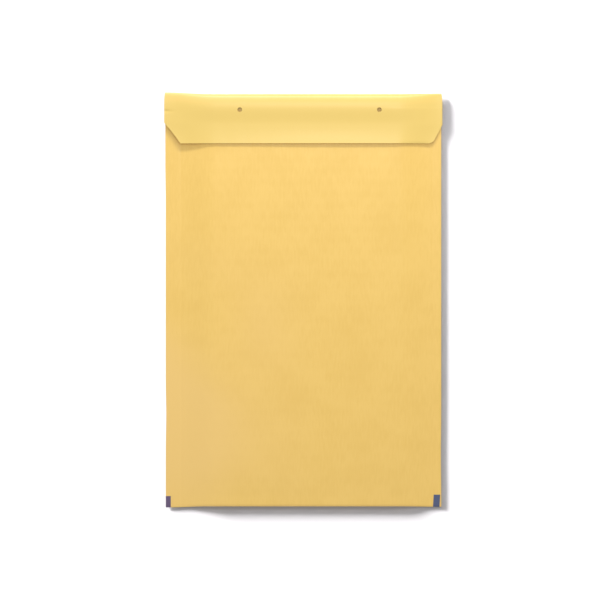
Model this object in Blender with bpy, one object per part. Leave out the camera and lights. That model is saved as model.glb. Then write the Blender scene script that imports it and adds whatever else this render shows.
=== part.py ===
"""A padded mailer, empty and new, lying on its back with its flap folded down over the front.

One kraft sheet makes the front, the back, the rolled top fold and the flap. Inside it is a pouch of bubble
film, welded flat between the two walls along both sides. The flap carries a strip of adhesive under a
release liner. Metres, +Z up: X runs across the mailer, +Y towards the top fold, and the back lies on Z = 0.
"""

import math

import bmesh
import bpy

# Outline
WIDTH = 0.2400
LENGTH = 0.3610  # over the left corners, which reach furthest
FLAP_WIDTH = 0.2418  # the flap is flat, so it keeps the width that the padding takes from the walls
MOUTH_DROP = 0.0110  # middle of the roll down to the front wall's cut edge
FLAP_DROP = 0.0429  # middle of the roll down to the flap's cut edge

# The padding draws in the middle of each fold, so the corners stand proud of it
TOP_CORNERS = (0.0015, 0.0005)  # left and right
BOTTOM_CORNERS = (0.0010, 0.0004)
CORNER_REACH = 0.038  # along the fold
CORNER_DEPTH = 0.030  # from the fold into the walls

# Layers
PAPER = 0.0002
FILM = 0.0027  # one layer of bubble film
WELD = 0.0004  # both layers, crushed together in a side seam
POCKET_GAP = 0.0006  # between the two layers, where the contents go
CLEARANCE = 0.00015  # paper to film
STRIP = 0.00012  # thickness of the adhesive, and of its liner
STRIP_GAP = 0.00015  # between the flap, the adhesive and the liner
FLAP_REST = 0.0003  # the liner above the front wall

# Side seams, as the flat strip from each edge to the start of the padding
SEAM_LEFT = 0.0135
SEAM_RIGHT = 0.0075
RAMP = 0.030  # seam to full padding
SEAM_LIFT = 0.0013  # a seam's underside above the floor

# Bottom fold
NOSE = 0.0020  # reach of its rounded edge
NOSE_FULLNESS = 0.70  # padding left at the edge, as a share of the full height
BOTTOM_RAMP = 0.030

# Top fold and flap
ROLL = 0.0116  # reach of the roll past the line where the flap lies flat
CURL = 0.0012  # rise of the flap's cut edge over its middle
CURL_LENGTH = 0.014
DROOP_LEFT = 0.0018  # drop of the flap's corners, over the seams
DROOP_RIGHT = 0.0036
CORNER_LEFT = (0.0140, 0.0172)  # cut across each lower corner, as width and height
CORNER_RIGHT = (0.0086, 0.0163)
CORNER_BOWS = (0.85, 1.05)  # left and right: 1 is a straight cut, more starts gently from the side
CORNER_ROUND = (0.0028, 0.15)  # the right cut's rounded end, as more width over a share of its height

# Clip holes in the flap
HOLE_RADIUS = 0.0020
HOLE_XS = (-0.0552, 0.0660)
HOLE_DROP = 0.0138  # below the middle of the roll
HOLE_SIDES = 12

# Pouch, adhesive and liner
POUCH_INSET = 0.0004  # its welded sides, inside the paper's edges
POUCH_DROP = 0.0020  # its mouth, below the front wall's cut edge
POCKET_FLOOR = 0.0060  # the bottom of the pocket, above the bottom fold
POCKET_EDGE_GAP = 0.0001  # the pocket's height where it meets a seam
ADHESIVE_RISE = (0.0045, 0.0205)  # lower and upper edge, above the flap's cut edge
LINER_RISE = (0.0022, 0.0235)
STRIP_SIDE = 0.0008  # the strips' ends, inside the flap's

# Grid: columns and rows of each stretch, and steps around each fold
LEFT_SEAM_COLUMNS = 2
RIGHT_SEAM_COLUMNS = 1
RAMP_COLUMNS = 6
MIDDLE_COLUMNS = 5
RAMP_ROWS = 5
WALL_ROWS = 6
FLAP_ROWS = 8
STRIP_ROWS = 6
NOSE_STEPS = 6
ROLL_STEPS = 10
POUCH_NOSE_STEPS = 3
POUCH_NOSE_TURN = math.radians(78)  # its rounded bottom is closed by a narrow strip
SHARP_ANGLE = math.radians(40)

# Worked out from those
HALF = WIDTH / 2
BOTTOM_Y = -LENGTH / 2 + BOTTOM_CORNERS[0]
TOP_Y = LENGTH / 2 - TOP_CORNERS[0]
MOUTH_Y = TOP_Y - MOUTH_DROP
NOSE_Y = BOTTOM_Y + NOSE
ROLL_Y = TOP_Y - ROLL
EDGE_Y = TOP_Y - FLAP_DROP
HOLE_Y = TOP_Y - HOLE_DROP
PAPER_AND_GAP = PAPER + CLEARANCE
SEAM_DEPTH = 2 * PAPER_AND_GAP + WELD
FULL_DEPTH = 2 * PAPER_AND_GAP + 2 * FILM + POCKET_GAP
FLAP_LEVEL = FULL_DEPTH + FLAP_REST + 2 * (STRIP + STRIP_GAP) + PAPER


def smooth(t):
    """0 to 1 with level ends, as t goes from 0 to 1."""
    t = min(max(t, 0.0), 1.0)
    return t * t * (3.0 - 2.0 * t)


def spaced(start, end, count):
    """count values from start up to, and without, end."""
    return [start + (end - start) * i / count for i in range(count)]


def side_fullness(x):
    """How far the padding has risen from the nearer side seam, 0 to 1."""
    left = smooth((x + HALF - SEAM_LEFT) / RAMP)
    right = smooth((HALF - SEAM_RIGHT - x) / RAMP)
    return left * right


def bottom_fullness(y):
    """How far the padding has risen from the bottom fold, from 0 there to 1."""
    return smooth((y - NOSE_Y) / BOTTOM_RAMP)


def depth(x, y):
    """Thickness of the closed mailer, paper to paper."""
    share = NOSE_FULLNESS + (1.0 - NOSE_FULLNESS) * bottom_fullness(y)
    return SEAM_DEPTH + (FULL_DEPTH - SEAM_DEPTH) * side_fullness(x) * share


def back_z(x, y):
    """Outer face of the back wall: flat on the floor, and lifted at the seams and the bottom fold."""
    return SEAM_LIFT * (1.0 - side_fullness(x) * bottom_fullness(y))


def front_z(x, y):
    """Outer face of the front wall."""
    return back_z(x, y) + depth(x, y)


def flap_z(x, y):
    """Outer face of the flap: level, with drooping corners and a cut edge that curls up."""
    left = smooth(((SEAM_LEFT + RAMP) - (x + HALF)) / (SEAM_LEFT + RAMP))
    right = smooth(((SEAM_RIGHT + RAMP) - (HALF - x)) / (SEAM_RIGHT + RAMP))
    curl = max(0.0, (EDGE_Y + CURL_LENGTH - y) / CURL_LENGTH) ** 2
    return FLAP_LEVEL - DROOP_LEFT * left - DROOP_RIGHT * right + CURL * curl


def flap_sides(y):
    """The flap's left and right edge at y, with its cut corners."""
    left_cut, left_height = CORNER_LEFT
    right_cut, right_height = CORNER_RIGHT
    left = max(0.0, (EDGE_Y + left_height - y) / left_height)
    right = max(0.0, (EDGE_Y + right_height - y) / right_height)
    rounded = CORNER_ROUND[0] * max(0.0, (right - 1.0) / CORNER_ROUND[1] + 1.0) ** 2
    left_side = -FLAP_WIDTH / 2 + left_cut * left ** CORNER_BOWS[0]
    return left_side, FLAP_WIDTH / 2 - right_cut * right ** CORNER_BOWS[1] - rounded


def cornered(point):
    """A point moved with the corners, which reach past the middle of each fold."""
    x, y, z = point
    left = smooth((CORNER_REACH - HALF - x) / CORNER_REACH)
    right = smooth((CORNER_REACH - HALF + x) / CORNER_REACH)
    near_top = smooth((y - TOP_Y) / CORNER_DEPTH + 1.0)
    near_bottom = smooth((BOTTOM_Y - y) / CORNER_DEPTH + 1.0)
    up = (TOP_CORNERS[0] * left + TOP_CORNERS[1] * right) * near_top
    down = (BOTTOM_CORNERS[0] * left + BOTTOM_CORNERS[1] * right) * near_bottom
    return x, y + up - down, z


def fitted(x, sides):
    """x of the body's grid, moved so that the columns over a seam end at the given sides."""
    inner = HALF - SEAM_LEFT - RAMP
    if abs(x) <= inner:
        return x
    side = sides[0] if x < 0.0 else sides[1]
    return side + (math.copysign(inner, x) - side) * (HALF - abs(x)) / (HALF - inner)


def columns():
    """x of the grid's columns: close together where the padding rises, and far apart between."""
    left_seam = -HALF + SEAM_LEFT
    right_seam = HALF - SEAM_RIGHT
    values = spaced(-HALF, left_seam, LEFT_SEAM_COLUMNS)
    values += spaced(left_seam, left_seam + RAMP, RAMP_COLUMNS)
    values += spaced(left_seam + RAMP, right_seam - RAMP, MIDDLE_COLUMNS)
    values += spaced(right_seam - RAMP, right_seam, RAMP_COLUMNS)
    return values + spaced(right_seam, HALF, RIGHT_SEAM_COLUMNS) + [HALF]


def wall_rows(top_y):
    """y of a wall's rows, from the bottom fold up to top_y."""
    rise = NOSE_Y + BOTTOM_RAMP
    return spaced(NOSE_Y, rise, RAMP_ROWS) + spaced(rise, top_y, WALL_ROWS) + [top_y]


def fold_rows(y, reach, from_z, to_z, steps):
    """Rows around a half-round fold that starts and ends at y: (y, share of the way round in z, z of x)."""
    rows = []
    for step in range(1, steps):
        angle = math.pi * step / steps
        share = (1.0 - math.cos(angle)) / 2.0
        row_y = y + reach * math.sin(angle)
        rows.append((row_y, share, lambda x, s=share: from_z(x, y) * (1.0 - s) + to_z(x, y) * s))
    return rows


def new_object(name, mesh, material):
    """A named object from a bmesh, with one material and its faces turned away from its middle."""
    data = bpy.data.meshes.new(name)
    bmesh.ops.recalc_face_normals(mesh, faces=mesh.faces)
    mesh.to_mesh(data)
    mesh.free()
    data.shade_smooth()
    data.set_sharp_from_angle(angle=SHARP_ANGLE)
    data.materials.append(material)
    made = bpy.data.objects.new(name, data)
    bpy.context.scene.collection.objects.link(made)
    return made


def new_material(name, colour, roughness, alpha=1.0):
    """A Principled BSDF with one colour."""
    material = bpy.data.materials.new(name)
    material.use_nodes = True
    shader = material.node_tree.nodes["Principled BSDF"]
    shader.inputs["Base Color"].default_value = (*colour, 1.0)
    shader.inputs["Roughness"].default_value = roughness
    shader.inputs["Metallic"].default_value = 0.0
    shader.inputs["Alpha"].default_value = alpha
    return material


def sheet_mesh(rows):
    """A grid of quads through rows of points."""
    mesh = bmesh.new()
    grid = [[mesh.verts.new(cornered(point)) for point in row] for row in rows]
    for upper, lower in zip(grid, grid[1:]):
        for i in range(len(upper) - 1):
            mesh.faces.new((upper[i], lower[i], lower[i + 1], upper[i + 1]))
    return mesh


def thicken(made, thickness):
    """Gives a sheet its thickness, inwards from the face that its normals point out of."""
    solid = made.modifiers.new("thickness", "SOLIDIFY")
    solid.thickness = thickness
    solid.offset = -1.0


def clip_hole_cutter(x):
    """A short round cutter through the flap alone."""
    mesh = bmesh.new()
    bmesh.ops.create_cone(
        mesh,
        cap_ends=True,
        segments=HOLE_SIDES,
        radius1=HOLE_RADIUS,
        radius2=HOLE_RADIUS,
        depth=4 * PAPER,
    )
    cutter = new_object(f"clip_hole_cutter_{'left' if x < 0 else 'right'}", mesh, None)
    cutter.location = (x, HOLE_Y, FLAP_LEVEL - PAPER / 2)
    cutter.hide_render = True
    cutter.display_type = "WIRE"
    return cutter


def build_kraft_wrapper(material):
    """The outer sheet: front wall, bottom fold, back wall, rolled top fold and flap."""
    xs = columns()
    rows = [[(x, y, front_z(x, y)) for x in xs] for y in reversed(wall_rows(MOUTH_Y))]
    for y, _, z_of in fold_rows(NOSE_Y, -NOSE, front_z, back_z, NOSE_STEPS):
        rows.append([(x, y, z_of(x)) for x in xs])
    rows += [[(x, y, back_z(x, y)) for x in xs] for y in wall_rows(ROLL_Y)]
    for y, share, z_of in fold_rows(ROLL_Y, ROLL, back_z, flap_z, ROLL_STEPS):
        half = HALF + (FLAP_WIDTH / 2 - HALF) * smooth(2.0 * share - 1.0)
        rows.append([(fitted(x, (-half, half)), y, z_of(x)) for x in xs])
    for y in spaced(ROLL_Y, EDGE_Y, FLAP_ROWS) + [EDGE_Y]:
        rows.append([(fitted(x, flap_sides(y)), y, flap_z(x, y)) for x in xs])
    wrapper = new_object("kraft_wrapper", sheet_mesh(rows), material)
    thicken(wrapper, PAPER)
    for x in HOLE_XS:
        cut = wrapper.modifiers.new("clip_hole", "BOOLEAN")
        cut.object = clip_hole_cutter(x)
        cut.operation = "DIFFERENCE"
        cut.solver = "EXACT"


def pouch_section(y, left, right, front_of, back_of):
    """One closed ring around the pouch at y: along its front from left to right, and back along its rear."""
    share = (right - left) / WIDTH
    front = []
    rear = []
    for x in columns():
        placed = left + (x + HALF) * share
        front.append((placed, y, front_of(placed)))
        rear.append((placed, y, back_of(placed)))
    return front + rear[::-1]


def add_tube(mesh, rings):
    """Joins rings of points into a tube, and returns its first ring of vertices and its last."""
    loops = [[mesh.verts.new(cornered(point)) for point in ring] for ring in rings]
    for first, second in zip(loops, loops[1:]):
        for i in range(len(first)):
            mesh.faces.new((first[i - 1], first[i], second[i], second[i - 1]))
    return loops[0], loops[-1]


def close_end(mesh, loop):
    """Closes a flattened ring with quads from its front to its rear."""
    for i in range(len(loop) // 2 - 1):
        mesh.faces.new((loop[i], loop[i + 1], loop[-2 - i], loop[-1 - i]))


def build_bubble_lining(material):
    """The pouch of bubble film: two padded layers, welded at the sides, folded below and open above."""
    mouth_y = MOUTH_Y - POUCH_DROP
    left = -HALF + POUCH_INSET
    right = HALF - POUCH_INSET

    def outer(y, section_y, share):
        """A ring of the outer face, its depth taken at section_y and drawn in to a share."""

        def face(x, sign):
            middle = (front_z(x, section_y) + back_z(x, section_y)) / 2.0
            half = depth(x, section_y) / 2.0 - PAPER_AND_GAP
            return middle + sign * half * share

        return pouch_section(y, left, right, lambda x: face(x, 1), lambda x: face(x, -1))

    def inner(y):
        """A ring of the pocket's face, halfway between the walls."""

        def face(x, sign):
            middle = (front_z(x, y) + back_z(x, y)) / 2.0
            gap = POCKET_EDGE_GAP + (POCKET_GAP - POCKET_EDGE_GAP) * side_fullness(x)
            return middle + sign * gap / 2.0

        sides = (-HALF + SEAM_LEFT, HALF - SEAM_RIGHT)
        return pouch_section(y, *sides, lambda x: face(x, 1), lambda x: face(x, -1))

    mesh = bmesh.new()
    outside = [outer(y, y, 1.0) for y in reversed(wall_rows(mouth_y))]
    for step in range(1, POUCH_NOSE_STEPS + 1):
        angle = POUCH_NOSE_TURN * step / POUCH_NOSE_STEPS
        reach = (NOSE - PAPER_AND_GAP) * math.sin(angle)
        outside.append(outer(NOSE_Y - reach, NOSE_Y, math.cos(angle)))
    outer_mouth, outer_bottom = add_tube(mesh, outside)
    close_end(mesh, outer_bottom)
    floor = BOTTOM_Y + POCKET_FLOOR
    inside = [inner(y) for y in reversed(wall_rows(mouth_y)) if y > floor] + [inner(floor)]
    inner_mouth, inner_bottom = add_tube(mesh, inside)
    close_end(mesh, inner_bottom)
    for i in range(len(outer_mouth)):
        mesh.faces.new((outer_mouth[i - 1], outer_mouth[i], inner_mouth[i], inner_mouth[i - 1]))
    new_object("bubble_lining", mesh, material)


def build_strip(name, rise, below_flap, material):
    """A thin strip along the flap's inner face, cut off at the flap's own sides."""
    rows = []
    lower, upper = EDGE_Y + rise[0], EDGE_Y + rise[1]
    for y in spaced(upper, lower, STRIP_ROWS) + [lower]:
        left, right = flap_sides(y)
        sides = (left + STRIP_SIDE, right - STRIP_SIDE)
        rows.append([(fitted(x, sides), y, flap_z(x, y) - below_flap) for x in columns()])
    strip = new_object(name, sheet_mesh(rows), material)
    thicken(strip, STRIP)


def clear_scene():
    """Removes every object that the file holds."""
    for old in list(bpy.data.objects):
        bpy.data.objects.remove(old, do_unlink=True)


def main():
    """Builds the mailer's four pieces."""
    clear_scene()
    kraft = new_material("golden_kraft", (0.85, 0.60, 0.21), 0.72)
    film = new_material("clear_film", (0.86, 0.88, 0.88), 0.25, alpha=0.55)
    glue = new_material("hot_melt", (0.86, 0.80, 0.60), 0.35)
    liner = new_material("silicone_paper", (0.93, 0.92, 0.88), 0.45)
    build_kraft_wrapper(kraft)
    build_bubble_lining(film)
    build_strip("adhesive_strip", ADHESIVE_RISE, PAPER + STRIP_GAP, glue)
    build_strip("release_liner", LINER_RISE, PAPER + STRIP + 2 * STRIP_GAP, liner)


main()
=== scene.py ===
"""The looks of a padded mailer, lying on its back with its flap folded down over the front.

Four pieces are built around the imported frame: the kraft wrapper, the pouch of bubble film inside it, the
adhesive under the flap and the liner over that adhesive. Metres, +Z up: X runs across the mailer, +Y towards
its rolled top fold, and its back lies on Z = 0, as in the frame.
"""

import logging
import math
from collections.abc import Callable
from dataclasses import dataclass
from enum import Enum

import bmesh
import bpy
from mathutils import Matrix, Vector, noise


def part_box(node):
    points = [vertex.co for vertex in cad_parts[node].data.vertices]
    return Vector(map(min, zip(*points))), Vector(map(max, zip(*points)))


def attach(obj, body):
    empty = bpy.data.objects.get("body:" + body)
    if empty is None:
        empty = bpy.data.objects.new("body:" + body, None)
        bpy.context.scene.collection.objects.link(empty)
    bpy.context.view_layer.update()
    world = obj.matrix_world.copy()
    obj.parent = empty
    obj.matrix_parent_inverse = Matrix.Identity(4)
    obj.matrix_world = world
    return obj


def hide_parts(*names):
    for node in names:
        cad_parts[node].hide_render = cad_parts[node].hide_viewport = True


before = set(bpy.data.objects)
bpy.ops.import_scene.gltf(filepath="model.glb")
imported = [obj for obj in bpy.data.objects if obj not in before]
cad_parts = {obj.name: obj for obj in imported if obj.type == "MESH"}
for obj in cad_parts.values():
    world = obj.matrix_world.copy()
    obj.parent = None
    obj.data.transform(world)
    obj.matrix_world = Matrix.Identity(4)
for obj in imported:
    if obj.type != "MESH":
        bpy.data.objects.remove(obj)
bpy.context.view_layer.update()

log = logging.getLogger("padded_mailer")

Point = tuple[float, float, float]
Colour = tuple[float, float, float]
Socket = bpy.types.NodeSocket
Feed = Socket | float | Colour


class Wall(Enum):
    """One of the mailer's two walls, with the direction in Z that it faces."""

    FRONT = 1.0
    BACK = -1.0


class Calculation(Enum):
    """What a Math node works out."""

    ADD = "ADD"
    SUBTRACT = "SUBTRACT"
    MULTIPLY = "MULTIPLY"
    POWER = "POWER"
    MODULO = "FLOORED_MODULO"
    GREATER = "GREATER_THAN"
    LEAST = "MINIMUM"
    GREATEST = "MAXIMUM"
    SQUARE_ROOT = "SQRT"


# ---------------------------------------------------------------- numbers and meshes


def smooth(t: float) -> float:
    """A level-ended rise from 0 to 1 as t goes from 0 to 1."""
    t = min(max(t, 0.0), 1.0)
    return t * t * (3.0 - 2.0 * t)


def bell(value: float, middle: float, reach: float) -> float:
    """A soft bump of height 1 at the middle.

    Args:
        value: Where the bump is read.
        middle: Where it is highest.
        reach: How far from there it has dropped to about a third.

    Returns:
        The bump's height, from 0 to 1.
    """
    return math.exp(-(((value - middle) / reach) ** 2))


def spaced(start: float, end: float, step: float) -> list[float]:
    """Evenly spaced values from start up to, and without, end.

    Args:
        start: The first value.
        end: Where the values stop.
        step: The largest spacing wanted.

    Returns:
        The values, in order.
    """
    count = max(1, math.ceil(abs(end - start) / step))
    return [start + (end - start) * i / count for i in range(count)]


def way_along(rows: list[list[Point]]) -> list[float]:
    """How far each row lies along its sheet, measured down the middle column from the first row."""
    middle = [row[len(row) // 2] for row in rows]
    along = [0.0]
    for before, after in zip(middle, middle[1:]):
        along.append(along[-1] + math.dist(before, after))
    return along


def sheet_mesh(name: str, rows: list[list[Point]]) -> bpy.types.Mesh:
    """A grid of quads through rows of points, with the sheet's flat pattern as its UV map.

    Args:
        name: The mesh's name.
        rows: Points from side to side, row by row along the sheet.

    Returns:
        The mesh. Its UV map holds metres: x across the sheet, and the way along its middle.
    """
    width = len(rows[0])
    faces = []
    for r in range(len(rows) - 1):
        for c in range(width - 1):
            first = r * width + c
            faces.append((first, first + width, first + width + 1, first + 1))
    mesh = bpy.data.meshes.new(name)
    mesh.from_pydata([point for row in rows for point in row], [], faces)
    along = way_along(rows)
    pattern = mesh.uv_layers.new(name="blank")
    for loop in mesh.loops:
        row = loop.vertex_index // width
        pattern.data[loop.index].uv = (rows[row][loop.vertex_index % width][0], along[row])
    return mesh


def new_object(name: str, mesh: bpy.types.Mesh, *materials: bpy.types.Material) -> bpy.types.Object:
    """A named object in the scene.

    Args:
        name: The object's name.
        mesh: Its mesh.
        *materials: Its materials, in the order of their slots.

    Returns:
        The object, at the origin.
    """
    for material in materials:
        mesh.materials.append(material)
    made = bpy.data.objects.new(name, mesh)
    bpy.context.scene.collection.objects.link(made)
    return made


def settle(made: bpy.types.Object, sharp_angle: float = math.radians(40)) -> None:
    """Makes an object's modifiers part of its mesh, and shades it smooth with its sharp edges kept.

    Args:
        made: The object.
        sharp_angle: Edges that turn more than this stay sharp.
    """
    evaluated = made.evaluated_get(bpy.context.evaluated_depsgraph_get())
    mesh = bpy.data.meshes.new_from_object(evaluated)
    made.modifiers.clear()
    made.data = mesh
    mesh.name = made.name
    mesh.shade_smooth()
    mesh.set_sharp_from_angle(angle=sharp_angle)


# ---------------------------------------------------------------- the mailer's form


@dataclass(frozen=True)
class Form:
    """Where the paper and the film lie over the mailer's outline, as in the frame."""

    length: float
    flap_width: float
    width: float = 0.2400
    mouth_drop: float = 0.0110
    flap_drop: float = 0.0429
    top_corners: tuple[float, float] = (0.0015, 0.0005)
    bottom_corners: tuple[float, float] = (0.0010, 0.0004)
    corner_reach: float = 0.038
    corner_depth: float = 0.030
    paper: float = 0.0002
    film: float = 0.0027
    weld: float = 0.0004
    pocket_gap: float = 0.0006
    clearance: float = 0.00015
    strip: float = 0.00012
    strip_gap: float = 0.00015
    flap_rest: float = 0.0003
    seam_left: float = 0.0135
    seam_right: float = 0.0075
    ramp: float = 0.030
    seam_lift: float = 0.0013
    nose: float = 0.0020
    nose_fullness: float = 0.70
    bottom_ramp: float = 0.030
    roll: float = 0.0116
    curl: float = 0.0012
    curl_length: float = 0.014
    droop_left: float = 0.0018
    droop_right: float = 0.0036
    corner_left: tuple[float, float] = (0.0140, 0.0172)
    corner_right: tuple[float, float] = (0.0086, 0.0163)
    corner_bows: tuple[float, float] = (0.85, 1.05)
    corner_round: tuple[float, float] = (0.0028, 0.15)
    bubble_pitch: float = 0.0115
    bubble_radius: float = 0.0050
    bubble_columns: int = 21
    bubble_rows: int = 36
    imprint: float = 0.00006
    wave: float = 0.00030
    wave_length: float = 0.085
    seam_crease: float = 0.00018
    crown: float = 0.0010
    crown_length: float = 0.015
    crown_ends: float = 0.045
    least_curl: float = 0.35
    curl_middle: float = 0.018
    curl_reach: float = 0.075
    pinch: float = 0.0006
    pinch_drop: float = 0.0040
    fold_crease: float = 0.00010
    fold_crease_start: float = 0.062
    left_side_in: float = 0.00036
    left_side_top: float = 0.118
    left_waist: float = 0.00042
    right_waist: float = 0.00034

    @property
    def half(self) -> float:
        """Half the width of the walls."""
        return self.width / 2

    @property
    def bottom_y(self) -> float:
        """The middle of the bottom fold."""
        return -self.length / 2 + self.bottom_corners[0]

    @property
    def top_y(self) -> float:
        """The middle of the rolled top fold."""
        return self.length / 2 - self.top_corners[0]

    @property
    def mouth_y(self) -> float:
        """The front wall's cut edge."""
        return self.top_y - self.mouth_drop

    @property
    def nose_y(self) -> float:
        """Where the walls end and the rounded bottom fold starts."""
        return self.bottom_y + self.nose

    @property
    def roll_y(self) -> float:
        """Where the back wall ends and the roll starts."""
        return self.top_y - self.roll

    @property
    def edge_y(self) -> float:
        """The flap's cut edge."""
        return self.top_y - self.flap_drop

    @property
    def paper_and_gap(self) -> float:
        """From a wall's outer face to the film."""
        return self.paper + self.clearance

    @property
    def seam_depth(self) -> float:
        """Thickness over a side seam."""
        return 2 * self.paper_and_gap + self.weld

    @property
    def full_depth(self) -> float:
        """Thickness over the full padding."""
        return 2 * self.paper_and_gap + 2 * self.film + self.pocket_gap

    @property
    def flap_level(self) -> float:
        """Outer face of the flap, away from its edges."""
        strips = 2 * (self.strip + self.strip_gap)
        return self.full_depth + self.flap_rest + strips + self.paper

    @property
    def bubble_row_pitch(self) -> float:
        """Distance between two rows of bubbles, which are staggered."""
        return self.bubble_pitch * math.sqrt(3.0) / 2.0

    def side_fullness(self, x: float) -> float:
        """How far the padding has risen from the nearer side seam, 0 to 1."""
        left = smooth((x + self.half - self.seam_left) / self.ramp)
        right = smooth((self.half - self.seam_right - x) / self.ramp)
        return left * right

    def bottom_fullness(self, y: float) -> float:
        """How far the padding has risen from the bottom fold, 0 to 1."""
        return smooth((y - self.nose_y) / self.bottom_ramp)

    def bubble_top(self, x: float, y: float) -> float:
        """How much of a bubble is under a point of the paper.

        Args:
            x: Across the mailer.
            y: Along it.

        Returns:
            1 over the middle of a bubble, and 0 between bubbles.
        """
        first_y = -self.bubble_row_pitch * (self.bubble_rows - 1) / 2
        first_x = -self.bubble_pitch * (self.bubble_columns - 1) / 2
        near_row = round((y - first_y) / self.bubble_row_pitch)
        nearest = self.bubble_pitch
        for row in (near_row - 1, near_row, near_row + 1):
            across = (x - first_x) / self.bubble_pitch - 0.5 * (row % 2)
            away = (across - round(across)) * self.bubble_pitch
            nearest = min(nearest, math.hypot(away, y - first_y - row * self.bubble_row_pitch))
        return smooth(1.6 * (1.0 - nearest / self.bubble_radius))

    def depth(self, x: float, y: float) -> float:
        """Thickness of the closed mailer, paper to paper, without its fine relief."""
        share = self.nose_fullness + (1.0 - self.nose_fullness) * self.bottom_fullness(y)
        return self.seam_depth + (self.full_depth - self.seam_depth) * self.side_fullness(x) * share

    def plain_back_z(self, x: float, y: float) -> float:
        """Outer face of the back wall without its fine relief."""
        return self.seam_lift * (1.0 - self.side_fullness(x) * self.bottom_fullness(y))

    def sag(self, x: float, y: float) -> float:
        """How far the paper sinks between the bubbles."""
        return self.imprint * (1.0 - self.bubble_top(x, y)) * self.side_fullness(x)

    def back_z(self, x: float, y: float) -> float:
        """Outer face of the back wall."""
        return self.plain_back_z(x, y) + self.sag(x, y)

    def front_z(self, x: float, y: float) -> float:
        """Outer face of the front wall.

        Args:
            x: Across the mailer.
            y: Along it.

        Returns:
            Its Z, with the imprint of the bubbles, soft waves and the creases along the seams.
        """
        wave = self.wave * noise.noise(Vector((x, y, 0.0)) / self.wave_length) * self.side_fullness(x)
        wave *= self.bottom_fullness(y)
        left = bell(x, -self.half + self.seam_left, 0.0011)
        right = bell(x, self.half - self.seam_right, 0.0008)
        crease = self.seam_crease * (left + right)
        return self.plain_back_z(x, y) + self.depth(x, y) - self.sag(x, y) + wave - crease

    def flap_z(self, x: float, y: float) -> float:
        """Outer face of the flap.

        Args:
            x: Across the mailer.
            y: Along it.

        Returns:
            Its Z: a crown along the roll, drooping corners, and a cut edge that curls up most in the middle.
        """
        left_span = self.seam_left + self.ramp
        right_span = self.seam_right + self.ramp
        droop = self.droop_left * smooth((left_span - (x + self.half)) / left_span)
        droop += self.droop_right * smooth((right_span - (self.half - x)) / right_span)
        curl = self.least_curl + (1.0 - self.least_curl) * bell(x, self.curl_middle, self.curl_reach)
        curl *= self.curl * max(0.0, (self.edge_y + self.curl_length - y) / self.curl_length) ** 2
        crown = self.crown * (1.0 - smooth((self.roll_y - y) / self.crown_length))
        crown *= smooth((self.half - abs(x)) / self.crown_ends)
        pinch = self.pinch * bell(y, self.roll_y - self.pinch_drop, 0.0011) * bell(x, -self.half, 0.0050)
        fold = self.fold_crease * bell(y, self.roll_y + 0.0002, 0.0007)
        fold *= smooth((x - self.fold_crease_start) / 0.02)
        return self.flap_level + crown + curl - droop - pinch - fold

    def flap_sides(self, y: float) -> tuple[float, float]:
        """The flap's left and right edge at y, with its cut corners.

        Args:
            y: Along the mailer.

        Returns:
            x of the left edge and of the right one.
        """
        left_cut, left_height = self.corner_left
        right_cut, right_height = self.corner_right
        left = max(0.0, (self.edge_y + left_height - y) / left_height)
        right = max(0.0, (self.edge_y + right_height - y) / right_height)
        rounded = self.corner_round[0] * max(0.0, (right - 1.0) / self.corner_round[1] + 1.0) ** 2
        left_side = -self.flap_width / 2 + left_cut * left ** self.corner_bows[0]
        return left_side, self.flap_width / 2 - right_cut * right ** self.corner_bows[1] - rounded

    def fitted(self, x: float, sides: tuple[float, float]) -> float:
        """x of the body's grid, moved so that the columns over a seam end at the given sides.

        Args:
            x: A column's x.
            sides: Left and right edge of the row.

        Returns:
            The column's x in that row.
        """
        inner = self.half - self.seam_left - self.ramp
        if abs(x) <= inner:
            return x
        side = sides[0] if x < 0.0 else sides[1]
        return side + (math.copysign(inner, x) - side) * (self.half - abs(x)) / (self.half - inner)

    def placed(self, x: float, y: float, z: float) -> Point:
        """A point moved with the outline, whose corners reach past the folds and whose sides are drawn in.

        Args:
            x: Across the mailer.
            y: Along it.
            z: Its height, which stays.

        Returns:
            The moved point.
        """
        left = smooth((self.corner_reach - self.half - x) / self.corner_reach)
        right = smooth((self.corner_reach - self.half + x) / self.corner_reach)
        near_top = smooth((y - self.top_y) / self.corner_depth + 1.0)
        near_bottom = smooth((self.bottom_y - y) / self.corner_depth + 1.0)
        up = (self.top_corners[0] * left + self.top_corners[1] * right) * near_top
        down = (self.bottom_corners[0] * left + self.bottom_corners[1] * right) * near_bottom
        if x < 0.0:
            drawn = self.left_side_in * smooth((self.left_side_top - y) / 0.03)
            drawn += self.left_waist * bell(y, -0.100, 0.018)
        else:
            drawn = self.right_waist * bell(y, -0.134, 0.022)
        return x - math.copysign(drawn, x) * (x / self.half) ** 2, y + up - down, z

    def columns(self, step: float) -> list[float]:
        """x of a sheet's columns, closer together over the creases of the seams.

        Args:
            step: The largest spacing, in the middle.

        Returns:
            The columns from the left edge to the right one.
        """
        left_seam = -self.half + self.seam_left
        right_seam = self.half - self.seam_right
        fine = 0.0024
        values = spaced(-self.half, left_seam - fine, step * 1.2)
        values += spaced(left_seam - fine, left_seam + fine, step * 0.3)
        values += spaced(left_seam + fine, left_seam + self.ramp, step * 0.7)
        values += spaced(left_seam + self.ramp, right_seam - self.ramp, step)
        values += spaced(right_seam - self.ramp, right_seam - fine, step * 0.7)
        values += spaced(right_seam - fine, right_seam + fine, step * 0.3)
        return values + spaced(right_seam + fine, self.half, step * 1.2) + [self.half]

    def wall_rows(self, top_y: float, step: float) -> list[float]:
        """y of a wall's rows, closer together where it rises from the bottom fold.

        Args:
            top_y: The wall's upper end.
            step: The largest spacing.

        Returns:
            The rows from the bottom fold up.
        """
        rise = self.nose_y + self.bottom_ramp
        return spaced(self.nose_y, rise, step * 0.7) + spaced(rise, top_y, step) + [top_y]


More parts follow.
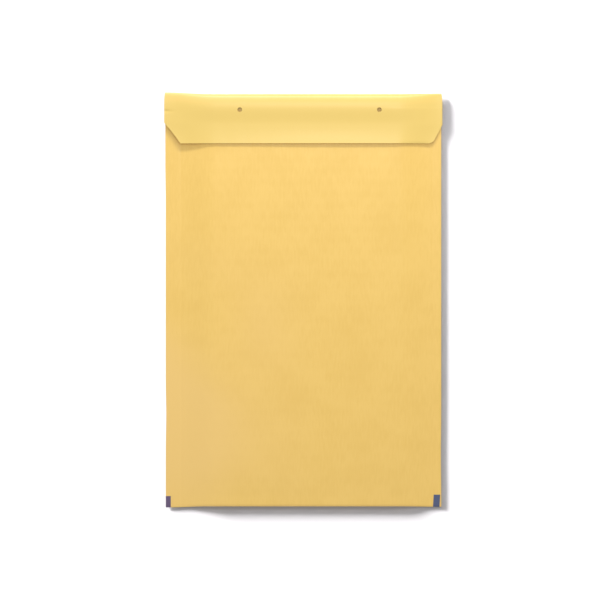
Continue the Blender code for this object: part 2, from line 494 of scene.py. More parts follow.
def fold_rows(
    y: float, reach: float, from_z: Callable, to_z: Callable, steps: int
) -> list[tuple[float, float, Callable]]:
    """Rows around a half-round fold that starts and ends at y.

    Args:
        y: Where the fold starts and ends.
        reach: How far it bulges, below zero for the bottom fold.
        from_z: Z of the surface that it leaves, as a function of x and y.
        to_z: Z of the surface that it joins.
        steps: Steps around the fold.

    Returns:
        For each row between the two ends, its y, its share of the way round in Z, and its Z as a function of x.
    """
    rows = []
    for step in range(1, steps):
        angle = math.pi * step / steps
        share = (1.0 - math.cos(angle)) / 2.0
        rows.append(
            (
                y + reach * math.sin(angle),
                share,
                lambda x, s=share: from_z(x, y) * (1.0 - s) + to_z(x, y) * s,
            )
        )
    return rows


# ---------------------------------------------------------------- finishes


class Bench:
    """A material in the making, with short calls that add nodes and join them."""

    def __init__(self, name: str) -> None:
        """Starts a material from its Principled BSDF.

        Args:
            name: The material's name.
        """
        self.material = bpy.data.materials.new(name)
        self.material.use_nodes = True
        self.tree = self.material.node_tree
        self.shader = self.tree.nodes["Principled BSDF"]

    def node(self, kind: str, **settings: object) -> bpy.types.Node:
        """Adds a node.

        Args:
            kind: Its type, such as ShaderNodeMath.
            **settings: Its properties.

        Returns:
            The node.
        """
        made = self.tree.nodes.new(kind)
        for name, value in settings.items():
            setattr(made, name, value)
        return made

    def feed(self, socket: Socket, value: Feed) -> None:
        """Joins a socket to another, or sets its value.

        Args:
            socket: The input.
            value: An output, a number or a colour.
        """
        if isinstance(value, bpy.types.NodeSocket):
            self.tree.links.new(value, socket)
        elif isinstance(value, tuple) and len(socket.default_value) == 4:
            socket.default_value = (*value, 1.0)
        else:
            socket.default_value = value

    def calculate(self, calculation: Calculation, first: Feed, second: Feed = 0.0) -> Socket:
        """Works out a number from one or two others.

        Args:
            calculation: What is worked out.
            first: The first number.
            second: The second number.

        Returns:
            The result.
        """
        made = self.node("ShaderNodeMath", operation=calculation.value)
        self.feed(made.inputs[0], first)
        self.feed(made.inputs[1], second)
        return made.outputs[0]

    def span(self, value: Feed, low: float, high: float, start: float = 0.0, end: float = 1.0) -> Socket:
        """Turns a range of numbers into another, with soft ends.

        Args:
            value: The number.
            low: What becomes start.
            high: What becomes end.
            start: The result at low and below.
            end: The result at high and above.

        Returns:
            The result.
        """
        made = self.node("ShaderNodeMapRange", interpolation_type="SMOOTHSTEP")
        for socket, number in zip(made.inputs, (value, low, high, start, end)):
            self.feed(socket, number)
        return made.outputs["Result"]

    def mix(self, share: Feed, first: Feed, second: Feed) -> Socket:
        """Mixes two colours.

        Args:
            share: Share of the second, 0 to 1.
            first: The first colour.
            second: The second colour.

        Returns:
            The mixed colour.
        """
        made = self.node("ShaderNodeMix", data_type="RGBA")
        self.feed(made.inputs[0], share)
        self.feed(made.inputs[6], first)
        self.feed(made.inputs[7], second)
        return made.outputs[2]

    def stretched(self, vector: Socket, turn: float, scale: Point) -> Socket:
        """Turns and scales coordinates.

        Args:
            vector: The coordinates.
            turn: Turn about Z, in radians.
            scale: Scale along each axis.

        Returns:
            The new coordinates.
        """
        made = self.node("ShaderNodeMapping")
        self.feed(made.inputs["Vector"], vector)
        made.inputs["Rotation"].default_value = (0.0, 0.0, turn)
        made.inputs["Scale"].default_value = scale
        return made.outputs["Vector"]

    def grain(self, vector: Socket, size: float, detail: float = 2.0) -> Socket:
        """Soft noise.

        Args:
            vector: The coordinates, in metres.
            size: Size of its largest spots, in metres.
            detail: How many finer layers it has.

        Returns:
            Its value, about 0.5 on average.
        """
        made = self.node("ShaderNodeTexNoise")
        self.feed(made.inputs["Vector"], vector)
        made.inputs["Scale"].default_value = 1.0 / size
        made.inputs["Detail"].default_value = detail
        return made.outputs["Fac"]

    def relief(self, height: Socket, depth: float, under: Socket | None = None) -> Socket:
        """Turns a height into bumps.

        Args:
            height: From 0 to 1.
            depth: What 1 stands for, in metres.
            under: Bumps that these lie on.

        Returns:
            The bumped normal.
        """
        made = self.node("ShaderNodeBump")
        made.inputs["Strength"].default_value = 1.0
        made.inputs["Distance"].default_value = depth
        self.feed(made.inputs["Height"], height)
        if under is not None:
            self.feed(made.inputs["Normal"], under)
        return made.outputs["Normal"]

    def finish(self, **inputs: Feed) -> bpy.types.Material:
        """Sets the shader's inputs.

        Args:
            **inputs: Values by the input's name, with underscores for its spaces.

        Returns:
            The finished material.
        """
        for name, value in inputs.items():
            self.feed(self.shader.inputs[name.replace("_", " ")], value)
        return self.material


@dataclass(frozen=True)
class PrintedMark:
    """A field of ink on the wrapper's blank, with its edges in metres from the blank's middle and its mouth."""

    ink: Colour
    left: float
    right: float
    top: float
    bottom: float
    lean: float = 0.0
    edge: float = 0.00018

    def mask(self, bench: Bench, across: Socket, along: Socket) -> Socket:
        """Where the ink is.

        Args:
            bench: The material that prints it.
            across: x on the blank.
            along: The way down the blank.

        Returns:
            1 in the mark and 0 around it.
        """
        leaned = bench.calculate(Calculation.MULTIPLY, along, self.lean)
        leaned = bench.calculate(Calculation.ADD, leaned, -self.lean * self.top)
        x = bench.calculate(Calculation.ADD, across, leaned)
        inside = bench.span(x, self.left - self.edge, self.left + self.edge)
        for value, low, high in (
            (x, self.right + self.edge, self.right - self.edge),
            (along, self.top - self.edge, self.top + self.edge),
            (along, self.bottom + self.edge, self.bottom - self.edge),
        ):
            inside = bench.calculate(Calculation.MULTIPLY, inside, bench.span(value, low, high))
        return inside


@dataclass(frozen=True)
class KraftFinish:
    """Golden kraft, glazed on the side that shows: long fibres, soft mottling, two printed marks, and painted
    cooler light over the flap.
    """

    name: str
    deep: Colour = (0.765, 0.500, 0.122)
    light: Colour = (0.800, 0.530, 0.138)
    rosy: Colour = (0.800, 0.530, 0.165)
    # painted light: a cooler, yellower tint of the kraft that stands in for cooler light falling on the flap
    painted_flap_light: Colour = (0.722, 0.515, 0.138)
    fibre: Colour = (0.66, 0.41, 0.105)
    roughness: tuple[float, float] = (0.32, 0.42)
    specular: float = 0.45
    flap_start: float = 0.0
    marks: tuple[PrintedMark, ...] = ()

    def make(self) -> bpy.types.Material:
        """The material, which follows the paper by its blank's UV map."""
        bench = Bench(self.name)
        blank = bench.node("ShaderNodeUVMap", uv_map="blank").outputs["UV"]
        split = bench.node("ShaderNodeSeparateXYZ")
        bench.feed(split.inputs[0], blank)
        across, along = split.outputs["X"], split.outputs["Y"]

        grain = bench.grain(bench.stretched(blank, 0.0, (1.0, 0.16, 1.0)), 0.0016, 3.0)
        mottle = bench.grain(blank, 0.030, 2.0)
        cloud = bench.grain(blank, 0.110, 0.0)
        felt = bench.grain(blank, 0.00042, 3.0)
        tone = bench.calculate(Calculation.ADD, grain, mottle)
        colour = bench.mix(bench.span(tone, 0.70, 1.30), self.deep, self.light)
        lower_left = bench.calculate(
            Calculation.MULTIPLY, bench.span(across, 0.02, -0.09), bench.span(along, 0.10, 0.20)
        )
        drift = bench.calculate(Calculation.MULTIPLY, lower_left, bench.span(cloud, 0.25, 0.60))
        colour = bench.mix(drift, colour, self.rosy)
        # painted light: past the roll the kraft is mixed towards a cooler, yellower tint, painted to stand in
        # for cooler light on the flap
        flap = bench.span(along, self.flap_start, self.flap_start + 0.012)
        colour = bench.mix(flap, colour, self.painted_flap_light)
        for turn, share in ((0.35, 0.16), (-0.5, 0.12)):
            hairs = bench.grain(bench.stretched(blank, turn, (1.0, 0.09, 1.0)), 0.00055, 1.0)
            colour = bench.mix(bench.span(hairs, 0.66, 0.78, 0.0, share), colour, self.fibre)
        for mark in self.marks:
            covered = bench.calculate(Calculation.MULTIPLY, mark.mask(bench, across, along), 0.94)
            colour = bench.mix(covered, colour, mark.ink)

        cockle = bench.grain(bench.stretched(blank, 0.0, (1.0, 0.35, 1.0)), 0.009, 1.0)
        normal = bench.relief(cockle, 0.00010)
        normal = bench.relief(grain, 0.00003, normal)
        normal = bench.relief(felt, 0.000012, normal)
        rough = bench.span(felt, 0.3, 0.7, *self.roughness)
        return bench.finish(
            Base_Color=colour, Roughness=rough, Specular_IOR_Level=self.specular, Normal=normal
        )


@dataclass(frozen=True)
class FilmFinish:
    """Clear bubble film, a little milky, with fine draw lines."""

    name: str = "bubble_film"
    clear: Colour = (0.90, 0.92, 0.92)
    milky: Colour = (0.96, 0.97, 0.97)
    alpha: tuple[float, float] = (0.30, 0.48)

    def make(self) -> bpy.types.Material:
        """The material."""
        bench = Bench(self.name)
        place = bench.node("ShaderNodeTexCoord").outputs["Object"]
        lines = bench.grain(bench.stretched(place, 0.0, (1.0, 0.05, 1.0)), 0.0012, 2.0)
        haze = bench.grain(place, 0.02, 2.0)
        colour = bench.mix(bench.span(haze, 0.3, 0.7), self.clear, self.milky)
        rough = bench.span(lines, 0.3, 0.7, 0.10, 0.24)
        normal = bench.relief(lines, 0.00004)
        alpha = bench.span(haze, 0.3, 0.7, *self.alpha)
        return bench.finish(Base_Color=colour, Roughness=rough, Normal=normal, Alpha=alpha, IOR=1.5)


@dataclass(frozen=True)
class HotMeltFinish:
    """Hot-melt adhesive: ivory, tacky, laid on in fine streaks."""

    name: str = "hot_melt"
    thin: Colour = (0.80, 0.66, 0.38)
    thick: Colour = (0.88, 0.80, 0.58)

    def make(self) -> bpy.types.Material:
        """The material."""
        bench = Bench(self.name)
        place = bench.node("ShaderNodeTexCoord").outputs["Object"]
        streaks = bench.grain(bench.stretched(place, 0.0, (0.06, 1.0, 1.0)), 0.0013, 2.0)
        pits = bench.grain(place, 0.0007, 2.0)
        colour = bench.mix(bench.span(streaks, 0.35, 0.65), self.thin, self.thick)
        normal = bench.relief(pits, 0.00003, bench.relief(streaks, 0.00008))
        return bench.finish(
            Base_Color=colour, Roughness=bench.span(pits, 0.3, 0.7, 0.22, 0.38), Normal=normal
        )


@dataclass(frozen=True)
class LinerFinish:
    """Siliconed release paper: off-white, smooth, with a fine formation."""

    name: str = "liner_paper"
    dark: Colour = (0.80, 0.78, 0.71)
    pale: Colour = (0.90, 0.89, 0.84)

    def make(self) -> bpy.types.Material:
        """The material."""
        bench = Bench(self.name)
        place = bench.node("ShaderNodeTexCoord").outputs["Object"]
        formation = bench.grain(place, 0.0035, 3.0)
        felt = bench.grain(place, 0.0004, 2.0)
        colour = bench.mix(bench.span(formation, 0.3, 0.7), self.dark, self.pale)
        normal = bench.relief(felt, 0.00001, bench.relief(formation, 0.00004))
        return bench.finish(
            Base_Color=colour, Roughness=bench.span(felt, 0.3, 0.7, 0.28, 0.40), Normal=normal
        )


@dataclass(frozen=True)
class FloorFinish:
    """A plain pale sweep of matt paper."""

    name: str = "floor_paper"
    colour: Colour = (0.375, 0.365, 0.375)

    def make(self) -> bpy.types.Material:
        """The material."""
        return Bench(self.name).finish(Base_Color=self.colour, Roughness=0.9, Specular_IOR_Level=0.1)


# ---------------------------------------------------------------- the pieces


@dataclass
class KraftWrapper:
    """The outer sheet: front wall, bottom fold, back wall, rolled top fold and flap, with two clip holes."""

    form: Form
    column_step: float = 0.0023
    front_step: float = 0.0023
    back_step: float = 0.0028
    hidden_step: float = 0.0040
    nose_steps: int = 10
    roll_steps: int = 22
    hole_radius: float = 0.0020
    hole_xs: tuple[float, float] = (-0.0552, 0.0660)
    hole_drop: float = 0.0138
    hole_sides: int = 40
    purple_mark: tuple[float, float] = (-0.1225, -0.1153)
    blue_mark: tuple[float, float] = (0.1134, 0.1191)
    purple: Colour = (0.075, 0.052, 0.155)
    blue: Colour = (0.024, 0.062, 0.175)
    mark_height: float = 0.0112
    mark_turn_under: float = 0.0060
    mark_lean: float = 0.06

    def rows(self) -> list[list[Point]]:
        """The sheet's points, row by row from the mouth round to the flap's cut edge."""
        form = self.form
        xs = form.columns(self.column_step)
        shown = form.wall_rows(form.edge_y, self.front_step)
        hidden = spaced(form.edge_y, form.mouth_y, self.hidden_step)[1:] + [form.mouth_y]
        rows = [[form.placed(x, y, form.front_z(x, y)) for x in xs] for y in reversed(shown + hidden)]
        for y, _, z_of in fold_rows(form.nose_y, -form.nose, form.front_z, form.back_z, self.nose_steps):
            rows.append([form.placed(x, y, z_of(x)) for x in xs])
        for y in form.wall_rows(form.roll_y, self.back_step):
            rows.append([form.placed(x, y, form.back_z(x, y)) for x in xs])
        for y, share, z_of in fold_rows(form.roll_y, form.roll, form.back_z, form.flap_z, self.roll_steps):
            half = form.half + (form.flap_width / 2 - form.half) * smooth(2.0 * share - 1.0)
            rows.append([form.placed(form.fitted(x, (-half, half)), y, z_of(x)) for x in xs])
        for y in self.flap_rows():
            sides = form.flap_sides(y)
            rows.append([form.placed(form.fitted(x, sides), y, form.flap_z(x, y)) for x in xs])
        return rows

    def flap_rows(self) -> list[float]:
        """y of the flap's rows, from the roll to its cut edge, closer together over the crease and the curl."""
        form = self.form
        upper = form.roll_y - 0.0066
        lower = form.edge_y + 0.0080
        rows = spaced(form.roll_y, upper, 0.0006) + spaced(upper, lower, 0.0015)
        return rows + spaced(lower, form.edge_y, 0.0009) + [form.edge_y]

    def finish_for(self, rows: list[list[Point]]) -> KraftFinish:
        """The outer finish, with its marks where the bottom fold lies on the blank.

        Args:
            rows: The sheet's points.

        Returns:
            The finish.
        """
        along = way_along(rows)
        middle_ys = [row[len(row) // 2][1] for row in rows]
        fold = along[middle_ys.index(min(middle_ys))]
        top_fold = along[middle_ys.index(max(middle_ys))]
        top = fold - self.mark_height
        bottom = fold + self.mark_turn_under
        return KraftFinish(
            "kraft_outside",
            flap_start=top_fold,
            marks=(
                PrintedMark(self.purple, *self.purple_mark, top, bottom),
                PrintedMark(self.blue, *self.blue_mark, top - 0.0008, bottom, self.mark_lean),
            ),
        )

    def punch(self, wrapper: bpy.types.Object) -> list[bpy.types.Object]:
        """Adds the cuts of the clip holes, through the flap alone.

        Args:
            wrapper: The wrapper's object.

        Returns:
            The cutters, to be removed once the cuts are made.
        """
        cutters = []
        y = self.form.top_y - self.hole_drop
        for x in self.hole_xs:
            mesh = bmesh.new()
            bmesh.ops.create_cone(
                mesh,
                cap_ends=True,
                segments=self.hole_sides,
                radius1=self.hole_radius,
                radius2=self.hole_radius,
                depth=6 * self.form.paper,
            )
            bmesh.ops.translate(mesh, verts=mesh.verts, vec=(x, y, self.form.flap_z(x, y) - self.form.paper))
            data = bpy.data.meshes.new("clip_hole_cutter")
            mesh.to_mesh(data)
            mesh.free()
            cutter = new_object("clip_hole_cutter", data)
            cut = wrapper.modifiers.new("clip_hole", "BOOLEAN")
            cut.operation = "DIFFERENCE"
            cut.solver = "EXACT"
            cut.object = cutter
            cutters.append(cutter)
        return cutters

    def build(self) -> bpy.types.Object:
        """The wrapper, thickened inwards from its outer face and dressed on both sides."""
        rows = self.rows()
        outside = self.finish_for(rows).make()
        inside = KraftFinish(
            "kraft_inside", flap_start=1.0, light=(0.82, 0.55, 0.19), roughness=(0.66, 0.78), specular=0.2
        ).make()
        wrapper = new_object("kraft_wrapper_sheet", sheet_mesh("kraft_wrapper_sheet", rows), outside, inside)
        solid = wrapper.modifiers.new("paper", "SOLIDIFY")
        solid.thickness = self.form.paper
        solid.offset = -1.0
        solid.material_offset = 1
        cutters = self.punch(wrapper)
        settle(wrapper)
        for cutter in cutters:
            bpy.data.objects.remove(cutter, do_unlink=True)
        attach(wrapper, "root")
        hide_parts("kraft_wrapper")
        return wrapper


class NodeGroup:
    """A Geometry Nodes tree in the making, with named inputs."""

    def __init__(self, name: str) -> None:
        """Starts a tree that takes a geometry and gives one.

        Args:
            name: The tree's name.
        """
        self.tree = bpy.data.node_groups.new(name, "GeometryNodeTree")
        self.identifiers: dict[str, str] = {}
        self.tree.interface.new_socket("Geometry", in_out="OUTPUT", socket_type="NodeSocketGeometry")
        self.source = self.tree.nodes.new("NodeGroupInput")
        self.target = self.tree.nodes.new("NodeGroupOutput")

    def input(self, name: str, kind: str) -> Socket:
        """Adds a named input.

        Args:
            name: The input's name.
            kind: Its type, such as NodeSocketFloat.

        Returns:
            Its socket inside the tree.
        """
        made = self.tree.interface.new_socket(name, in_out="INPUT", socket_type=kind)
        self.identifiers[name] = made.identifier
        return self.source.outputs[name]

    def node(self, kind: str, inputs: dict[str | int, object], **settings: object) -> bpy.types.Node:
        """Adds a node.

        Args:
            kind: Its type.
            inputs: Sockets or values by the input's name or number.
            **settings: Its properties.

        Returns:
            The node.
        """
        made = self.tree.nodes.new(kind)
        for name, value in settings.items():
            setattr(made, name, value)
        for name, value in inputs.items():
            if isinstance(value, bpy.types.NodeSocket):
                self.tree.links.new(value, made.inputs[name])
            else:
                made.inputs[name].default_value = value
        return made

    def calculate(self, calculation: Calculation, first: object, second: object = 0.0) -> Socket:
        """Works out a number from one or two others.

        Args:
            calculation: What is worked out.
            first: The first number.
            second: The second number.

        Returns:
            The result.
        """
        return self.node("ShaderNodeMath", {0: first, 1: second}, operation=calculation.value).outputs[0]

    def end(self, geometry: Socket) -> None:
        """Makes a geometry the tree's result.

        Args:
            geometry: The geometry.
        """
        self.tree.links.new(geometry, self.target.inputs["Geometry"])


@dataclass
class BubbleLining:
    """The pouch of bubble film: a film folded at the bottom, with an air bubble for each cell of its lattice."""

    form: Form
    sheet: float = 0.0001
    column_step: float = 0.0050
    row_step: float = 0.0060
    mouth_drop: float = 0.0020
    pocket_floor: float = 0.0060
    edge_gap: float = 0.0001
    inset: float = 0.0004
    fold_steps: int = 6
    bubble_sides: int = 12
    bubble_rings: int = 4
    least_loft: float = 0.0010
    shoulder: float = 0.80

    def gap(self, x: float) -> float:
        """Height of the pocket between the two layers."""
        return self.edge_gap + (self.form.pocket_gap - self.edge_gap) * self.form.side_fullness(x)

    def face_z(self, x: float, y: float, wall: Wall) -> float:
        """Face of the pocket on one side.

        Args:
            x: Across the mailer.
            y: Along it.
            wall: The side.

        Returns:
            Its Z.
        """
        middle = self.form.plain_back_z(x, y) + self.form.depth(x, y) / 2.0
        return middle + wall.value * self.gap(x) / 2.0

    def loft(self, x: float, y: float) -> float:
        """Room for a bubble between the film and the paper."""
        form = self.form
        room = form.depth(x, y) / 2.0 - form.paper_and_gap - self.gap(x) / 2.0
        return room - self.sheet - 0.5 * form.imprint

    def film_rows(self, walls: tuple[Wall, ...]) -> list[list[Point]]:
        """Points of the film.

        Args:
            walls: The front layer, the back layer, or both with the fold between them.

        Returns:
            Its rows, from the mouth down the front and up the back.
        """
        form = self.form
        share = (form.half - self.inset) / form.half
        xs = form.columns(self.column_step)
        floor = form.bottom_y + self.pocket_floor
        ys = [y for y in form.wall_rows(form.mouth_y - self.mouth_drop, self.row_step) if y > floor]
        ys = [floor] + ys
        rows = []

        def z_of(wall: Wall) -> Callable[[float, float], float]:
            """Z of one layer as a function of x and y."""
            return lambda x, y: self.face_z(x, y, wall)

        if Wall.FRONT in walls:
            for y in reversed(ys):
                rows.append([form.placed(x * share, y, self.face_z(x, y, Wall.FRONT)) for x in xs])
        if len(walls) == 2:
            for y, _, fold_z in fold_rows(
                floor, -0.0012, z_of(Wall.FRONT), z_of(Wall.BACK), self.fold_steps
            ):
                rows.append([form.placed(x * share, y, fold_z(x)) for x in xs])
        if Wall.BACK in walls:
            for y in ys:
                rows.append([form.placed(x * share, y, self.face_z(x, y, Wall.BACK)) for x in xs])
        return rows

    def bubble_tree(self) -> NodeGroup:
        """The tree that sets a domed bubble on each cell of a film layer where there is room for one."""
        group = NodeGroup("air_bubbles")
        layer = group.input("Film Layer", "NodeSocketGeometry")
        pitch = group.input("Pitch", "NodeSocketFloat")
        row_pitch = group.input("Row Pitch", "NodeSocketFloat")
        columns = group.input("Columns", "NodeSocketInt")
        rows = group.input("Rows", "NodeSocketInt")
        radius = group.input("Bubble Radius", "NodeSocketFloat")
        least = group.input("Least Loft", "NodeSocketFloat")
        side = group.input("Side", "NodeSocketFloat")
        shoulder = group.input("Shoulder", "NodeSocketFloat")
        material = group.input("Material", "NodeSocketMaterial")

        def times(first: object, second: object) -> Socket:
            """The product of two numbers."""
            return group.calculate(Calculation.MULTIPLY, first, second)

        def less(first: object, second: object) -> Socket:
            """The difference of two numbers."""
            return group.calculate(Calculation.SUBTRACT, first, second)

        lattice = group.node(
            "GeometryNodeMeshGrid",
            {
                "Size X": times(pitch, less(columns, 1.0)),
                "Size Y": times(row_pitch, less(rows, 1.0)),
                "Vertices X": columns,
                "Vertices Y": rows,
            },
        )
        index = group.node("GeometryNodeInputIndex", {}).outputs[0]
        row = group.calculate(Calculation.MODULO, index, rows)
        odd = group.calculate(Calculation.MODULO, row, 2.0)
        shift = group.node("ShaderNodeCombineXYZ", {"X": times(times(odd, pitch), 0.5)})
        staggered = group.node(
            "GeometryNodeSetPosition", {"Geometry": lattice.outputs["Mesh"], "Offset": shift.outputs[0]}
        )

        place = group.node("GeometryNodeInputPosition", {}).outputs[0]
        split = group.node("ShaderNodeSeparateXYZ", {0: place})
        above = group.node(
            "ShaderNodeCombineXYZ",
            {"X": split.outputs["X"], "Y": split.outputs["Y"], "Z": times(side, 0.05)},
        )
        down = group.node("ShaderNodeCombineXYZ", {"Z": times(side, -1.0)})
        loft = group.node("GeometryNodeInputNamedAttribute", {"Name": "loft"}, data_type="FLOAT")
        cast = group.node(
            "GeometryNodeRaycast",
            {
                "Target Geometry": layer,
                "Attribute": loft.outputs["Attribute"],
                "Source Position": above.outputs[0],
                "Ray Direction": down.outputs[0],
                "Ray Length": 0.1,
            },
            data_type="FLOAT",
        )
        roomy = group.calculate(Calculation.GREATER, cast.outputs["Attribute"], least)
        on_film = times(roomy, cast.outputs["Is Hit"])
        landed = group.node(
            "GeometryNodeSetPosition",
            {"Geometry": staggered.outputs[0], "Selection": on_film, "Position": cast.outputs["Hit Position"]},
        )

        stub = group.node(
            "GeometryNodeMeshCylinder",
            {
                "Vertices": self.bubble_sides,
                "Side Segments": self.bubble_rings,
                "Fill Segments": 1,
                "Radius": radius,
                "Depth": 1.0,
            },
            fill_type="TRIANGLE_FAN",
        )
        raised = group.node(
            "GeometryNodeTransform", {"Geometry": stub.outputs["Mesh"], "Translation": (0.0, 0.0, 0.5)}
        )
        height = group.calculate(Calculation.POWER, split.outputs["Z"], 4.0)
        narrow = less(1.0, times(height, shoulder))
        width = group.calculate(Calculation.SQUARE_ROOT, narrow)
        domed = group.node(
            "ShaderNodeCombineXYZ",
            {
                "X": times(split.outputs["X"], width),
                "Y": times(split.outputs["Y"], width),
                "Z": split.outputs["Z"],
            },
        )
        bubble = group.node(
            "GeometryNodeSetPosition", {"Geometry": raised.outputs[0], "Position": domed.outputs[0]}
        )

        stretch = group.node("ShaderNodeCombineXYZ", {"X": 1.0, "Y": 1.0, "Z": cast.outputs["Attribute"]})
        upright = group.node(
            "FunctionNodeAlignRotationToVector", {"Vector": cast.outputs["Hit Normal"]}, axis="Z"
        )
        set_out = group.node(
            "GeometryNodeInstanceOnPoints",
            {
                "Points": landed.outputs[0],
                "Selection": on_film,
                "Instance": bubble.outputs[0],
                "Rotation": upright.outputs[0],
                "Scale": stretch.outputs[0],
            },
        )
        real = group.node("GeometryNodeRealizeInstances", {0: set_out.outputs[0]})
        hit = group.node("ShaderNodeSeparateXYZ", {0: cast.outputs["Hit Position"]})
        risen = times(less(split.outputs["Z"], hit.outputs["Z"]), side)
        pressed = group.calculate(Calculation.LEAST, risen, cast.outputs["Attribute"])
        pressed = group.calculate(Calculation.GREATEST, pressed, 0.0)
        level = group.calculate(Calculation.ADD, hit.outputs["Z"], times(pressed, side))
        under_paper = group.node(
            "ShaderNodeCombineXYZ", {"X": split.outputs["X"], "Y": split.outputs["Y"], "Z": level}
        )
        fitted = group.node(
            "GeometryNodeSetPosition",
            {
                "Geometry": real.outputs[0],
                "Selection": cast.outputs["Is Hit"],
                "Position": under_paper.outputs[0],
            },
        )
        film = group.node("GeometryNodeSetMaterial", {"Geometry": fitted.outputs[0], "Material": material})
        group.end(film.outputs[0])
        return group

    def bubbles(self, wall: Wall, group: NodeGroup, material: bpy.types.Material) -> bpy.types.Mesh:
        """The bubbles of one layer.

        Args:
            wall: The layer.
            group: The tree that sets them out.
            material: The film's material.

        Returns:
            A plain mesh of all its bubbles.
        """
        form = self.form
        mesh = sheet_mesh("film_layer", self.film_rows((wall,)))
        room = mesh.attributes.new("loft", "FLOAT", "POINT")
        for vertex in mesh.vertices:
            room.data[vertex.index].value = self.loft(vertex.co.x, vertex.co.y)
            vertex.co.z += wall.value * self.sheet
        carrier = new_object("film_layer", mesh)
        modifier = carrier.modifiers.new("air_bubbles", "NODES")
        modifier.node_group = group.tree
        for name, value in (
            ("Pitch", form.bubble_pitch),
            ("Row Pitch", form.bubble_row_pitch),
            ("Columns", form.bubble_columns),
            ("Rows", form.bubble_rows),
            ("Bubble Radius", form.bubble_radius),
            ("Least Loft", self.least_loft),
            ("Side", wall.value),
            ("Shoulder", self.shoulder),
            ("Material", material),
        ):
            modifier[group.identifiers[name]] = value
        evaluated = carrier.evaluated_get(bpy.context.evaluated_depsgraph_get())
        made = bpy.data.meshes.new_from_object(evaluated)
        bpy.data.objects.remove(carrier, do_unlink=True)
        return made

    def build(self) -> bpy.types.Object:
        """The lining: its folded film and the bubbles of both layers, as one mesh."""
        material = FilmFinish().make()
        film = new_object("film", sheet_mesh("film", self.film_rows((Wall.FRONT, Wall.BACK))), material)
        solid = film.modifiers.new("film", "SOLIDIFY")
        solid.thickness = self.sheet
        solid.offset = 1.0
        settle(film)
        group = self.bubble_tree()
        joined = bmesh.new()
        joined.from_mesh(film.data)
        for wall in Wall:
            joined.from_mesh(self.bubbles(wall, group, material))
        for face in joined.faces:
            face.material_index = 0
            face.smooth = True
        mesh = bpy.data.meshes.new("bubble_film_pouch")
        joined.to_mesh(mesh)
        joined.free()
        bpy.data.objects.remove(film, do_unlink=True)
        lining = new_object("bubble_film_pouch", mesh, material)
        mesh.set_sharp_from_angle(angle=math.radians(50))
        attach(lining, "root")
        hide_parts("bubble_lining")
        return lining


@dataclass
class FlapStrip:
    """A thin strip along the flap's inner face, cut off at the flap's own sides."""

    form: Form
    name: str
    node: str
    slot: str
    rise: tuple[float, float]
    below_flap: float
    material: bpy.types.Material
    side: float = 0.0008
    column_step: float = 0.0030
    row_step: float = 0.0015

    def build(self) -> bpy.types.Object:
        """The strip, thickened downwards from its upper face."""
        form = self.form
        lower = form.edge_y + self.rise[0]
        upper = form.edge_y + self.rise[1]
        rows = []
        for y in spaced(upper, lower, self.row_step) + [lower]:
            left, right = form.flap_sides(y)
            sides = (left + self.side, right - self.side)
            rows.append(
                [
                    form.placed(form.fitted(x, sides), y, form.flap_z(x, y) - self.below_flap)
                    for x in form.columns(self.column_step)
                ]
            )
        strip = new_object(self.name, sheet_mesh(self.name, rows), self.material)
        solid = strip.modifiers.new("thickness", "SOLIDIFY")
        solid.thickness = form.strip
        solid.offset = -1.0
        settle(strip)
        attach(strip, "root")
        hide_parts(self.node)
        return strip


# ---------------------------------------------------------------- studio


@dataclass(frozen=True)
class SoftLight:
    """A rectangular soft light and the point that it is turned to."""

    name: str
    energy: float
    size: tuple[float, float]
    place: Point
    aim: Point

    def set_up(self) -> None:
        """Hangs the light."""
        data = bpy.data.lights.new(self.name, "AREA")
        data.energy = self.energy
        data.shape = "RECTANGLE"
        data.size, data.size_y = self.size
        made = bpy.data.objects.new(self.name, data)
        made.location = self.place
        towards = Vector(self.aim) - Vector(self.place)
        made.rotation_euler = towards.to_track_quat("-Z", "Y").to_euler()
        bpy.context.scene.collection.objects.link(made)


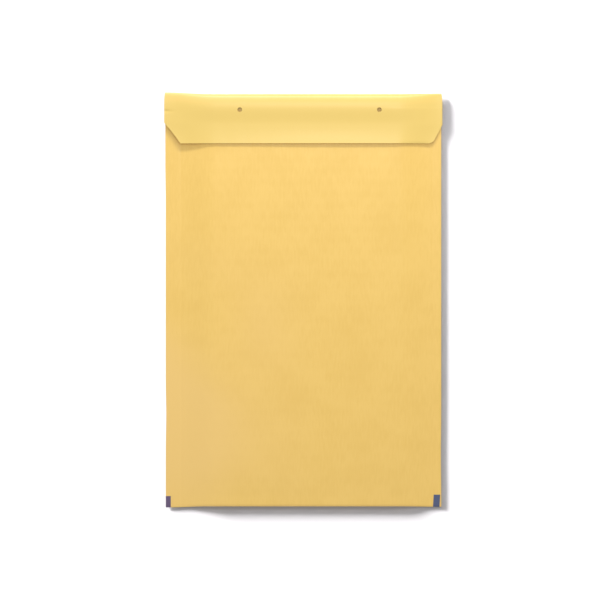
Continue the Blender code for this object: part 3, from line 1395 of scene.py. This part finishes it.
@dataclass
class Studio:
    """The floor, the lights and the camera, which looks straight down."""

    floor_size: float = 6.0
    floor_gap: float = 0.0002
    camera_height: float = 3.0
    view_width: float = 0.5212
    view_middle: tuple[float, float] = (-0.0029, 0.0)
    mailer_top: float = 0.0068
    sensor: float = 36.0
    world: float = 0.783
    strip_light: SoftLight = SoftLight("strip_light", 4.28, (0.60, 0.12), (0.06, 0.80, 0.40), (0.0, 0.10, 0.0))
    highlight: SoftLight = SoftLight("highlight", 1.38, (0.25, 0.08), (0.04, 0.38, 0.90), (0.0, 0.14, 0.0))
    edge_energy: float = 22.0
    edge_angle: float = math.radians(17)
    edge_slope: tuple[float, float] = (2.6, -1.9)

    def floor(self) -> bpy.types.Object:
        """The floor, which isn't part of the object."""
        half = self.floor_size / 2
        mesh = bpy.data.meshes.new("studio_floor")
        level = -self.floor_gap
        corners = [(-half, -half, level), (half, -half, level), (half, half, level), (-half, half, level)]
        mesh.from_pydata(corners, [], [(0, 1, 2, 3)])
        made = new_object("studio_floor", mesh, FloorFinish().make())
        return made

    def lights(self, floor: bpy.types.Object) -> None:
        """An even world, soft lights beyond the top fold, and a low light that shades the floor by the mailer.

        Args:
            floor: The floor, the only thing that the low light falls on.
        """
        world = bpy.data.worlds.new("studio")
        world.use_nodes = True
        sky = world.node_tree.nodes["Background"]
        sky.inputs["Color"].default_value = (1.0, 1.0, 1.0, 1.0)
        sky.inputs["Strength"].default_value = self.world
        bpy.context.scene.world = world
        self.strip_light.set_up()
        self.highlight.set_up()

        data = bpy.data.lights.new("floor_light", "SUN")
        data.energy = self.edge_energy
        data.angle = self.edge_angle
        low = bpy.data.objects.new("floor_light", data)
        low.rotation_euler = Vector((*self.edge_slope, -1.0)).to_track_quat("-Z", "Y").to_euler()
        bpy.context.scene.collection.objects.link(low)
        lit = bpy.data.collections.new("lit_by_floor_light")
        lit.objects.link(floor)
        low.light_linking.receiver_collection = lit

    def camera(self) -> None:
        """A long lens straight above the mailer."""
        data = bpy.data.cameras.new("overhead")
        data.sensor_width = self.sensor
        data.lens = self.sensor * (self.camera_height - self.mailer_top) / self.view_width
        data.clip_end = 2 * self.camera_height
        made = bpy.data.objects.new("overhead", data)
        made.location = (*self.view_middle, self.camera_height)
        bpy.context.scene.collection.objects.link(made)
        bpy.context.scene.camera = made

    def set_up(self) -> None:
        """Builds the studio."""
        self.lights(self.floor())
        self.camera()
        bpy.context.scene.view_settings.view_transform = "Standard"


def main() -> None:
    """Builds the mailer's pieces around the frame, and the studio."""
    logging.basicConfig(level=logging.INFO, format="%(name)s: %(message)s")
    low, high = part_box("kraft_wrapper")
    form = Form(length=high.y - low.y, flap_width=high.x - low.x)
    below_flap = form.paper + form.strip_gap
    pieces = (
        KraftWrapper(form),
        BubbleLining(form),
        FlapStrip(
            form, "hot_melt_band", "adhesive_strip", "adhesive", (0.0045, 0.0205), below_flap,
            HotMeltFinish().make(),
        ),
        FlapStrip(
            form, "peel_off_liner", "release_liner", "liner_paper", (0.0022, 0.0235),
            below_flap + form.strip + form.strip_gap, LinerFinish().make(),
        ),
    )
    for piece in pieces:
        made = piece.build()
        log.info("%s: %d faces", made.name, len(made.data.polygons))
    Studio().set_up()


if __name__ == "__main__":
    main()
